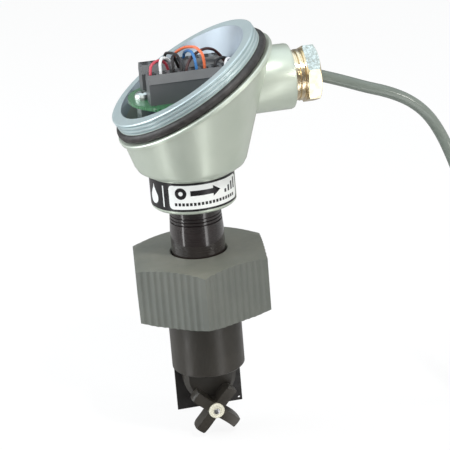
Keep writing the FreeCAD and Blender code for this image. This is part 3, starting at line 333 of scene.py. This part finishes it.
def insulation(name, colour, rough=0.32):
    """Glossy wire insulation with slight print-like unevenness of its colour."""
    n = Nodes(name)
    varied(n, colour, 0.1, 350.0)
    n.link(n.to_range(n.noise(500.0), rough - 0.06, rough + 0.08, 0.3, 0.7), n.shader.inputs["Roughness"])
    n.bump(n.noise(1100.0, 2.0), 0.00003)
    return n.material


def board_mask():
    """Green solder mask with straight traces under it and a fine weave."""
    n = Nodes("board_mask")
    brick = n.add("ShaderNodeTexBrick")
    brick.inputs["Scale"].default_value = 420.0
    brick.inputs["Mortar Size"].default_value = 0.11
    brick.inputs["Brick Width"].default_value = 1.7
    brick.inputs["Row Height"].default_value = 0.52
    brick.inputs["Color1"].default_value = (0.018, 0.105, 0.035, 1.0)
    brick.inputs["Color2"].default_value = (0.028, 0.135, 0.05, 1.0)
    brick.inputs["Mortar"].default_value = (0.065, 0.24, 0.105, 1.0)
    n.link(n.coordinates(), brick.inputs["Vector"])
    n.link(brick.outputs["Color"], n.shader.inputs["Base Color"])
    n.set(Coat_Weight=0.6, Coat_Roughness=0.08)
    n.link(n.to_range(n.noise(200.0), 0.25, 0.4, 0.3, 0.7), n.shader.inputs["Roughness"])
    n.bump(brick.outputs["Fac"], 0.00005, 0.4)
    return n.material


def black_sheet():
    """Thin black sheet with faint rolling streaks."""
    n = Nodes("black_sheet")
    varied(n, (0.014, 0.012, 0.011), 0.25, 120.0)
    streaks = n.noise(1.0, 3.0, 0.6, n.scaled((60.0, 60.0, 900.0)))
    n.link(n.to_range(streaks, 0.34, 0.5, 0.3, 0.7), n.shader.inputs["Roughness"])
    n.bump(streaks, 0.00002, 0.4)
    return n.material


MATERIALS = {
    "body_plastic": moulded("body_plastic", (0.037, 0.033, 0.027), 0.36, spread=0.12),
    "nut_plastic": nut_moulding(),
    "washer_plastic": moulded("washer_plastic", (0.5, 0.49, 0.44), 0.45),
    "wheel_plastic": moulded("wheel_plastic", (0.038, 0.033, 0.026), 0.36, spread=0.18),
    "bush_white": moulded("bush_white", (0.74, 0.71, 0.58), 0.38, 600.0, 0.00005, 0.06),
    "block_plastic": moulded("block_plastic", (0.098, 0.102, 0.106), 0.4, 1100.0, 0.00003),
    "stem_coat": turned_coat(),
    "head_paint": cast_paint(),
    "seal_rubber": rubber("seal_rubber"),
    "bush_rubber": rubber("bush_rubber", (0.03, 0.03, 0.03), 0.5),
    "label_print": moulded("label_print", (0.012, 0.011, 0.012), 0.3, 1500.0, 0.00001),
    "label_white": moulded("label_white", (0.80, 0.81, 0.79), 0.32, 1500.0, 0.00001, 0.03),
    "gland_plate": metal("gland_plate", (0.80, 0.68, 0.48), 0.18),
    "gland_nut_plate": gland_nut_plate(),
    "board_green": board_mask(),
    "bright_screw": metal("bright_screw", (0.58, 0.62, 0.59), 0.34, depth=0.000004),
    "plate_black": black_sheet(),
    "pin_steel": metal("pin_steel", (0.6, 0.6, 0.61), 0.28),
    "magnet": metal("magnet", (0.22, 0.22, 0.23), 0.45),
    "cable_jacket": moulded("cable_jacket", (0.175, 0.20, 0.175), 0.2, 1300.0, 0.00001, 0.06),
    "wire_orange": insulation("wire_orange", (0.84, 0.17, 0.06)),
    "wire_blue": insulation("wire_blue", (0.04, 0.185, 0.46)),
    "wire_white": insulation("wire_white", (0.82, 0.83, 0.84)),
    "wire_red": insulation("wire_red", (0.52, 0.06, 0.09)),
    "wire_black": insulation("wire_black", (0.008, 0.005, 0.005), 0.42),
    "wire_brown": insulation("wire_brown", (0.05, 0.013, 0.011), 0.42),
}


# Finish of the CAD nodes
def smooth_group():
    """Geometry nodes that weld a node's split corners and shade it smooth up to an edge angle."""
    group = bpy.data.node_groups.new("smooth_by_edge", "GeometryNodeTree")
    group.interface.new_socket("Geometry", in_out="INPUT", socket_type="NodeSocketGeometry")
    group.interface.new_socket("Geometry", in_out="OUTPUT", socket_type="NodeSocketGeometry")
    add = group.nodes.new
    start, end = add("NodeGroupInput"), add("NodeGroupOutput")
    weld = add("GeometryNodeMergeByDistance")
    weld.inputs["Distance"].default_value = 0.000002
    plain = add("GeometryNodeRemoveAttribute")
    plain.inputs["Name"].default_value = "custom_normal"
    faces = add("GeometryNodeSetShadeSmooth")
    faces.domain = "FACE"
    angle = add("GeometryNodeInputMeshEdgeAngle")
    compare = add("FunctionNodeCompare")
    compare.operation = "GREATER_THAN"
    compare.inputs[1].default_value = math.radians(28)
    edges = add("GeometryNodeSetShadeSmooth")
    edges.domain = "EDGE"
    edges.inputs["Shade Smooth"].default_value = False
    link = group.links.new
    link(start.outputs[0], plain.inputs["Geometry"])
    link(plain.outputs["Geometry"], weld.inputs["Geometry"])
    link(weld.outputs["Geometry"], faces.inputs["Geometry"])
    link(faces.outputs["Geometry"], edges.inputs["Geometry"])
    link(angle.outputs["Unsigned Angle"], compare.inputs[0])
    link(compare.outputs["Result"], edges.inputs["Selection"])
    link(edges.outputs["Geometry"], end.inputs[0])
    return group


SMOOTH = smooth_group()


# Nodes whose look in the photograph departs from the rest of their slot
OWN_FINISH = {"gland_nut": "gland_nut_plate"}

# Softened edges: width of the bevel and the edge angle from which it applies
SOFTENED = {
    "union_nut": (0.55 * MM, 50),
    "gland_nut": (0.35 * MM, 40),
    "paddle_wheel": (0.4 * MM, 45),
    "terminal_block_front": (0.18 * MM, 32),
    "terminal_block_rear": (0.18 * MM, 32),
    "board_screw_left": (0.15 * MM, 40),
    "board_screw_right": (0.15 * MM, 40),
    "neck_label": (0.06 * MM, 40),
}


def finish_node(name, slot):
    """Gives a CAD node its material, smooth shading and, where it is listed, softened edges."""
    obj = NODES[name]
    obj.data.materials.clear()
    obj.data.materials.append(MATERIALS[OWN_FINISH.get(name, slot)])
    smooth = obj.modifiers.new("smooth", "NODES")
    smooth.node_group = SMOOTH
    if name in SOFTENED:
        width, angle = SOFTENED[name]
        soften = obj.modifiers.new("soften", "BEVEL")
        soften.width = width
        soften.segments = 2
        soften.limit_method = "ANGLE"
        soften.angle_limit = math.radians(angle)
        soften.harden_normals = True


for part in frame["record"]["subparts"]:
    finish_node(part["node"], part["material_slot"])


# Print on the neck label: plain shapes, laid round the label
LABEL_RADIUS = 21.05 * MM
LABEL_MIDDLE_Z = 95.3 * MM
PRINT_FILM = 0.03 * MM


def wrapped_print(name, outlines, level, material):
    """Flat outlines in mm, (angle in degrees round the neck, height over the label's middle),
    laid round the label as thin films."""
    bm = bmesh.new()
    for outline in outlines:
        corners = [bm.verts.new((math.radians(a) * LABEL_RADIUS, h * MM, 0.0)) for a, h in outline]
        bm.faces.new(corners)
    low = min(v.co.x for v in bm.verts)
    high = max(v.co.x for v in bm.verts)
    step = 0.9 * MM
    for i in range(1, int((high - low) / step) + 1):
        everything = bm.verts[:] + bm.edges[:] + bm.faces[:]
        bmesh.ops.bisect_plane(
            bm, geom=everything, plane_co=(low + i * step, 0, 0), plane_no=(1, 0, 0), dist=0.0000001
        )
    radius = LABEL_RADIUS + PRINT_FILM * (level + 0.3)
    for v in bm.verts:
        angle = v.co.x / LABEL_RADIUS
        v.co = Vector((radius * math.cos(angle), radius * math.sin(angle), LABEL_MIDDLE_Z + v.co.y))
    mesh = bpy.data.meshes.new(name)
    bmesh.ops.recalc_face_normals(bm, faces=bm.faces[:])
    for face in bm.faces:
        centre = face.calc_center_median()
        if face.normal.dot(Vector((centre.x, centre.y, 0.0))) < 0:
            face.normal_flip()
    bm.to_mesh(mesh)
    bm.free()
    mesh.materials.append(material)
    obj = bpy.data.objects.new(name, mesh)
    bpy.context.scene.collection.objects.link(obj)
    film = obj.modifiers.new("film", "SOLIDIFY")
    film.thickness = PRINT_FILM
    film.offset = 1.0
    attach(obj, SENSOR)
    return obj


def degrees_of(length):
    """The angle round the label that a length in mm takes."""
    return math.degrees(length * MM / LABEL_RADIUS)


def rounded_panel(left, right, low, high, corner, steps=6):
    """Outline of a panel with rounded corners; left and right in degrees, the rest in mm."""
    turn = degrees_of(corner)
    points = []
    for a, h, start in (
        (right - turn, high - corner, 0),
        (left + turn, high - corner, 90),
        (left + turn, low + corner, 180),
        (right - turn, low + corner, 270),
    ):
        for i in range(steps + 1):
            angle = math.radians(start + 90 * i / steps)
            points.append((a + turn * math.cos(angle), h + corner * math.sin(angle)))
    return points


def bar(left, right, low, high):
    return [(left, low), (right, low), (right, high), (left, high)]


def disc(at, height, radius, steps=28):
    turn = degrees_of(radius)
    return [
        (
            at + turn * math.cos(2 * math.pi * i / steps),
            height + radius * math.sin(2 * math.pi * i / steps),
        )
        for i in range(steps)
    ]


def drop(at, low, radius, high, steps=20):
    """A liquid drop: a round bottom drawn up to a point."""
    turn = degrees_of(radius)
    centre = low + radius
    points = []
    for i in range(steps + 1):
        angle = math.radians(150 + 240 * i / steps)
        points.append((at + turn * math.cos(angle), centre + radius * math.sin(angle)))
    points.append((at + turn * 0.18, high - radius * 0.55))
    points.append((at, high))
    points.append((at - turn * 0.18, high - radius * 0.55))
    return points


def arrow(left, right, middle, shaft, head, wide):
    """An arrow that points round the neck; left, right and head in degrees, the rest in mm."""
    return [
        (left, middle - shaft / 2),
        (right - head, middle - shaft / 2),
        (right - head, middle - wide / 2),
        (right, middle),
        (right - head, middle + wide / 2),
        (right - head, middle + shaft / 2),
        (left, middle + shaft / 2),
    ]


def make_label_print():
    white, black = MATERIALS["label_white"], MATERIALS["label_print"]
    wrapped_print("label_panel", [rounded_panel(-134, -27, -6.0, 6.0, 2.0)], 0, white)
    wrapped_print(
        "label_side",
        [drop(-163, -4.9, 3.3, 5.2), bar(-144.5, -142.5, -5.4, 5.4)],
        0,
        white,
    )
    blocks = [arrow(-104, -62, 2.0, 2.6, 11, 5.4)]
    blocks += [disc(-117, 2.0, 2.9)]
    blocks += [bar(-55 + 6.5 * k, -51.5 + 6.5 * k, 2.0 - 2.7, 2.0 - 2.7 + 1.8 + 1.2 * k) for k in range(4)]
    blocks += [bar(-126 + 5.1 * k, -122.6 + 5.1 * k, -4.2, -2.7) for k in range(18)]
    wrapped_print("label_marks", blocks, 1.3, black)
    wrapped_print("label_hub", [disc(-117, 2.0, 1.1)], 2.6, white)


make_label_print()


# Free cable: the route of the part's source, then the turns of the coil
CABLE_DIAMETER = 5.8 * MM
CABLE_ROUTE = [
    (72.6, 0.0, 138.91),
    (78.45, -0.2, 136.78),
    (89.6, -1.0, 132.3),
    (100.6, -1.5, 128.6),
    (111.4, -1.5, 122.9),
    (120.3, -1.4, 114.6),
    (126.6, -2.4, 103.6),
    (130.8, -5.2, 91.6),
    (133.8, -10.8, 79.0),
    (135.8, -18.8, 66.2),
    (137.2, -27.8, 53.4),
    (138.2, -36.5, 40.0),
    (138.6, -44.0, 26.0),
    (138.7, -50.3, 12.4),
    (138.7, -49.7, -4.8),
    (138.7, -40.6, -19.5),
    (138.7, -25.9, -27.8),
    (138.7, -9.1, -27.8),
]
COIL_CENTRE = Vector((180.0, 10.0, 0.0)) * MM
COIL_RADIUS = 32.6 * MM
COIL_ACROSS = 4
COIL_REACH = 19.1 * MM
FLOOR_Z = -36.5 * MM
TURN_STEPS = 16


def coil_points():
    """The turns of the coil: the upper layer from the outside in, then the lower one back out."""
    lower = FLOOR_Z + CABLE_DIAMETER / 2
    upper = lower + CABLE_DIAMETER
    inner = COIL_RADIUS - CABLE_DIAMETER * (COIL_ACROSS - 1) / 2
    outer = COIL_RADIUS + CABLE_DIAMETER * (COIL_ACROSS - 1) / 2
    points = []
    turns = 2 * COIL_ACROSS + 0.25
    steps = int(turns * TURN_STEPS)
    for i in range(steps + 1):
        turn = i / TURN_STEPS
        layer = min(int(turn // COIL_ACROSS), 1)
        place = turn - COIL_ACROSS * layer
        shift = max(0.0, min(1.0, (place - math.floor(place)) * 4.0 - 3.0))
        lane = min(math.floor(place) + shift, COIL_ACROSS - 1)
        if layer:
            radius = inner + CABLE_DIAMETER * lane
            height = lower
        else:
            radius = outer - CABLE_DIAMETER * lane
            last_quarter = max(0.0, min(1.0, (place - COIL_ACROSS + 0.25) * 4.0))
            height = upper + (lower - upper) * last_quarter
        angle = math.pi - 2 * math.pi * turn
        # The control points stand a little outside the circle that the smooth line keeps to.
        reach = radius / (1 - (math.pi / TURN_STEPS) ** 2 / 2)
        offset = Vector((math.cos(angle), math.sin(angle), 0.0)) * reach
        points.append(COIL_CENTRE + offset + Vector((0, 0, height)))
    return points


def smooth_curve(name, points, diameter, material):
    """A round cable along a smooth line whose control points are given."""
    data = bpy.data.curves.new(name, "CURVE")
    data.dimensions = "3D"
    data.bevel_depth = diameter / 2
    data.bevel_resolution = 5
    data.resolution_u = 6
    data.use_fill_caps = True
    spline = data.splines.new("NURBS")
    spline.points.add(len(points) - 1)
    for slot, place in zip(spline.points, points):
        slot.co = (*place, 1.0)
    spline.order_u = 3
    spline.use_endpoint_u = True
    spline.use_smooth = True
    data.materials.append(material)
    obj = bpy.data.objects.new(name, data)
    bpy.context.scene.collection.objects.link(obj)
    return obj


def make_cable():
    route = [Vector(p) * MM for p in CABLE_ROUTE]
    turns = coil_points()
    middle = (route[-1] + turns[0]) / 2
    outer = COIL_RADIUS + CABLE_DIAMETER * (COIL_ACROSS - 1) / 2
    lower = FLOOR_Z + CABLE_DIAMETER / 2
    tail = [
        COIL_CENTRE + Vector((COIL_REACH * share, outer, lower)) for share in (0.35, 0.7, 1.0)
    ]
    cable = smooth_curve(
        "free_cable", route + [middle] + turns + tail, CABLE_DIAMETER, MATERIALS["cable_jacket"]
    )
    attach(cable, SENSOR)
    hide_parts("lead_cable", "lead_coil")
    return cable


make_cable()


# Light, floor and background
EVEN_LIGHT = 0.42
REFLECTED_LIGHT = 0.9
WALLS = [(0.0, 0.42), (0.35, 0.16), (0.62, 0.3), (0.8, 1.0), (1.0, 0.9)]
WALL_TINT = (0.97, 0.99, 1.0)
CEILING = (0.72, 0.84, 0.95)


def grey_ramp(tree, factor, stops, tint=(1.0, 1.0, 1.0)):
    """A colour ramp of greys in a tree, from (position, grey) stops."""
    ramp = tree.nodes.new("ShaderNodeValToRGB")
    elements = ramp.color_ramp.elements
    while len(elements) < len(stops):
        elements.new(0.5)
    for element, (at, grey) in zip(elements, stops):
        element.position = at
        element.color = (grey * tint[0], grey * tint[1], grey * tint[2], 1.0)
    tree.links.new(factor, ramp.inputs["Fac"])
    return ramp.outputs["Color"]


def make_world():
    """Even light from all round, white to the camera; reflections see a studio with a darker
    wall in front and behind, and bright sides."""
    world = bpy.data.worlds.new("studio")
    bpy.context.scene.world = world
    world.use_nodes = True
    tree = world.node_tree
    tree.nodes.clear()
    link = tree.links.new
    path = tree.nodes.new("ShaderNodeLightPath")
    place = tree.nodes.new("ShaderNodeTexCoord")
    apart = tree.nodes.new("ShaderNodeSeparateXYZ")
    link(place.outputs["Generated"], apart.inputs[0])
    sides = tree.nodes.new("ShaderNodeMath")
    sides.operation = "ABSOLUTE"
    link(apart.outputs["X"], sides.inputs[0])
    walls = grey_ramp(tree, sides.outputs[0], WALLS, WALL_TINT)
    overhead = tree.nodes.new("ShaderNodeMapRange")
    overhead.inputs["From Min"].default_value = 0.35
    overhead.inputs["From Max"].default_value = 0.8
    link(apart.outputs["Z"], overhead.inputs["Value"])
    room = tree.nodes.new("ShaderNodeMix")
    room.data_type = "RGBA"
    room.inputs[7].default_value = (*CEILING, 1.0)
    link(overhead.outputs["Result"], room.inputs[0])
    link(walls, room.inputs[6])
    mirrored = tree.nodes.new("ShaderNodeBackground")
    link(room.outputs[2], mirrored.inputs["Color"])
    mirrored.inputs["Strength"].default_value = REFLECTED_LIGHT
    even = tree.nodes.new("ShaderNodeBackground")
    even.inputs["Color"].default_value = (0.94, 0.97, 1.0, 1.0)
    even.inputs["Strength"].default_value = EVEN_LIGHT
    white = tree.nodes.new("ShaderNodeBackground")
    white.inputs["Color"].default_value = (1.0, 1.0, 1.0, 1.0)
    seen = tree.nodes.new("ShaderNodeMath")
    seen.operation = "MAXIMUM"
    first = tree.nodes.new("ShaderNodeMixShader")
    second = tree.nodes.new("ShaderNodeMixShader")
    out = tree.nodes.new("ShaderNodeOutputWorld")
    link(path.outputs["Is Camera Ray"], seen.inputs[0])
    link(path.outputs["Is Transmission Ray"], seen.inputs[1])
    link(path.outputs["Is Glossy Ray"], first.inputs[0])
    link(even.outputs[0], first.inputs[1])
    link(mirrored.outputs[0], first.inputs[2])
    link(seen.outputs[0], second.inputs[0])
    link(first.outputs[0], second.inputs[1])
    link(white.outputs[0], second.inputs[2])
    link(second.outputs[0], out.inputs["Surface"])


# Floor; reflections see it glow, grey by degrees round the object, from the front over the left, with two
# bright strips that make painted highlights
FLOOR_HALF = 6.0
FLOOR_DROP = 0.2 * MM
FLOOR_WHITENING = 0.85
FLOOR_GLOW = 4.5
FLOOR_GLOW_STRIPS = [
    (0.0, 0.035), (66.0, 0.05), (69.0, 1.0), (73.0, 1.0), (76.0, 0.06), (120.0, 0.13),
    (180.0, 0.08), (240.0, 0.13), (322.0, 0.07), (331.0, 0.7), (335.0, 0.7), (339.0, 0.045), (360.0, 0.035),
]


def make_floor():
    """A plain pale floor: white to the camera, but it keeps the object's shadow. Reflections see it
    glowing, darker, with two bright strips whose glow paints highlights on glossy parts."""
    mesh = bpy.data.meshes.new("floor")
    half = FLOOR_HALF
    z = FLOOR_Z - FLOOR_DROP
    corners = [(-half, -half, z), (half, -half, z), (half, half, z), (-half, half, z)]
    mesh.from_pydata(corners, [], [(0, 1, 2, 3)])
    floor = bpy.data.objects.new("floor", mesh)
    bpy.context.scene.collection.objects.link(floor)
    material = bpy.data.materials.new("floor")
    material.use_nodes = True
    tree = material.node_tree
    shader = tree.nodes["Principled BSDF"]
    shader.inputs["Base Color"].default_value = (0.86, 0.86, 0.86, 1.0)
    shader.inputs["Roughness"].default_value = 0.9
    path = tree.nodes.new("ShaderNodeLightPath")
    lift = tree.nodes.new("ShaderNodeMath")
    lift.operation = "MULTIPLY"
    lift.inputs[1].default_value = FLOOR_WHITENING
    glow = tree.nodes.new("ShaderNodeEmission")
    glow.inputs["Color"].default_value = (1.0, 1.0, 1.0, 1.0)
    glow.inputs["Strength"].default_value = 1.02
    mix = tree.nodes.new("ShaderNodeMixShader")
    out = tree.nodes["Material Output"]
    place = tree.nodes.new("ShaderNodeTexCoord")
    apart = tree.nodes.new("ShaderNodeSeparateXYZ")
    tree.links.new(place.outputs["Object"], apart.inputs[0])
    angle = tree.nodes.new("ShaderNodeMath")
    angle.operation = "ARCTAN2"
    tree.links.new(apart.outputs["X"], angle.inputs[0])
    tree.links.new(apart.outputs["Y"], angle.inputs[1])
    turn = tree.nodes.new("ShaderNodeMapRange")
    turn.inputs["From Min"].default_value = -math.pi
    turn.inputs["From Max"].default_value = math.pi
    tree.links.new(angle.outputs[0], turn.inputs["Value"])
    strips = [(degrees / 360.0, grey) for degrees, grey in FLOOR_GLOW_STRIPS]
    # Glow seen only in reflections: painted highlights from the floor, which is no lamp.
    mirrored = tree.nodes.new("ShaderNodeEmission")
    tree.links.new(grey_ramp(tree, turn.outputs["Result"], strips), mirrored.inputs["Color"])
    mirrored.inputs["Strength"].default_value = FLOOR_GLOW
    shown = tree.nodes.new("ShaderNodeMixShader")
    tree.links.new(path.outputs["Is Glossy Ray"], shown.inputs[0])
    tree.links.new(shader.outputs[0], shown.inputs[1])
    tree.links.new(mirrored.outputs[0], shown.inputs[2])
    tree.links.new(path.outputs["Is Camera Ray"], lift.inputs[0])
    tree.links.new(lift.outputs[0], mix.inputs[0])
    tree.links.new(shown.outputs[0], mix.inputs[1])
    tree.links.new(glow.outputs[0], mix.inputs[2])
    tree.links.new(mix.outputs[0], out.inputs["Surface"])
    mesh.materials.append(material)


def make_lamp(name, place, aim, size, power, colour=(1.0, 1.0, 1.0)):
    data = bpy.data.lights.new(name, "AREA")
    data.shape = "SQUARE"
    data.size = size
    data.energy = power
    data.color = colour
    lamp = bpy.data.objects.new(name, data)
    bpy.context.scene.collection.objects.link(lamp)
    lamp.location = place
    way = Vector(aim) - Vector(place)
    lamp.rotation_mode = "QUATERNION"
    lamp.rotation_quaternion = way.to_track_quat("-Z", "Y")


make_world()
make_floor()
OBJECT_MIDDLE = (0.0, 0.0, 0.08)
make_lamp("left", (-1.15, 0.3, 0.6), OBJECT_MIDDLE, 1.1, 13.0, (0.92, 0.97, 1.0))
make_lamp("front", (-0.3, -1.2, 0.9), OBJECT_MIDDLE, 1.0, 3.5, (1.0, 0.98, 0.95))
make_lamp("right", (0.75, -0.7, 0.45), OBJECT_MIDDLE, 0.22, 2.6, (1.0, 0.97, 0.92))
make_lamp("left strip", (-1.0, -0.5, 0.45), OBJECT_MIDDLE, 0.14, 1.2, (0.9, 0.95, 1.0))
make_lamp("key", (0.25, -0.65, 1.1), OBJECT_MIDDLE, 0.12, 5.0, (1.0, 0.99, 0.96))
make_lamp("top", (0.1, 0.1, 1.3), OBJECT_MIDDLE, 1.5, 5.0, (0.9, 0.96, 1.0))
bpy.context.scene.view_settings.view_transform = "Standard"
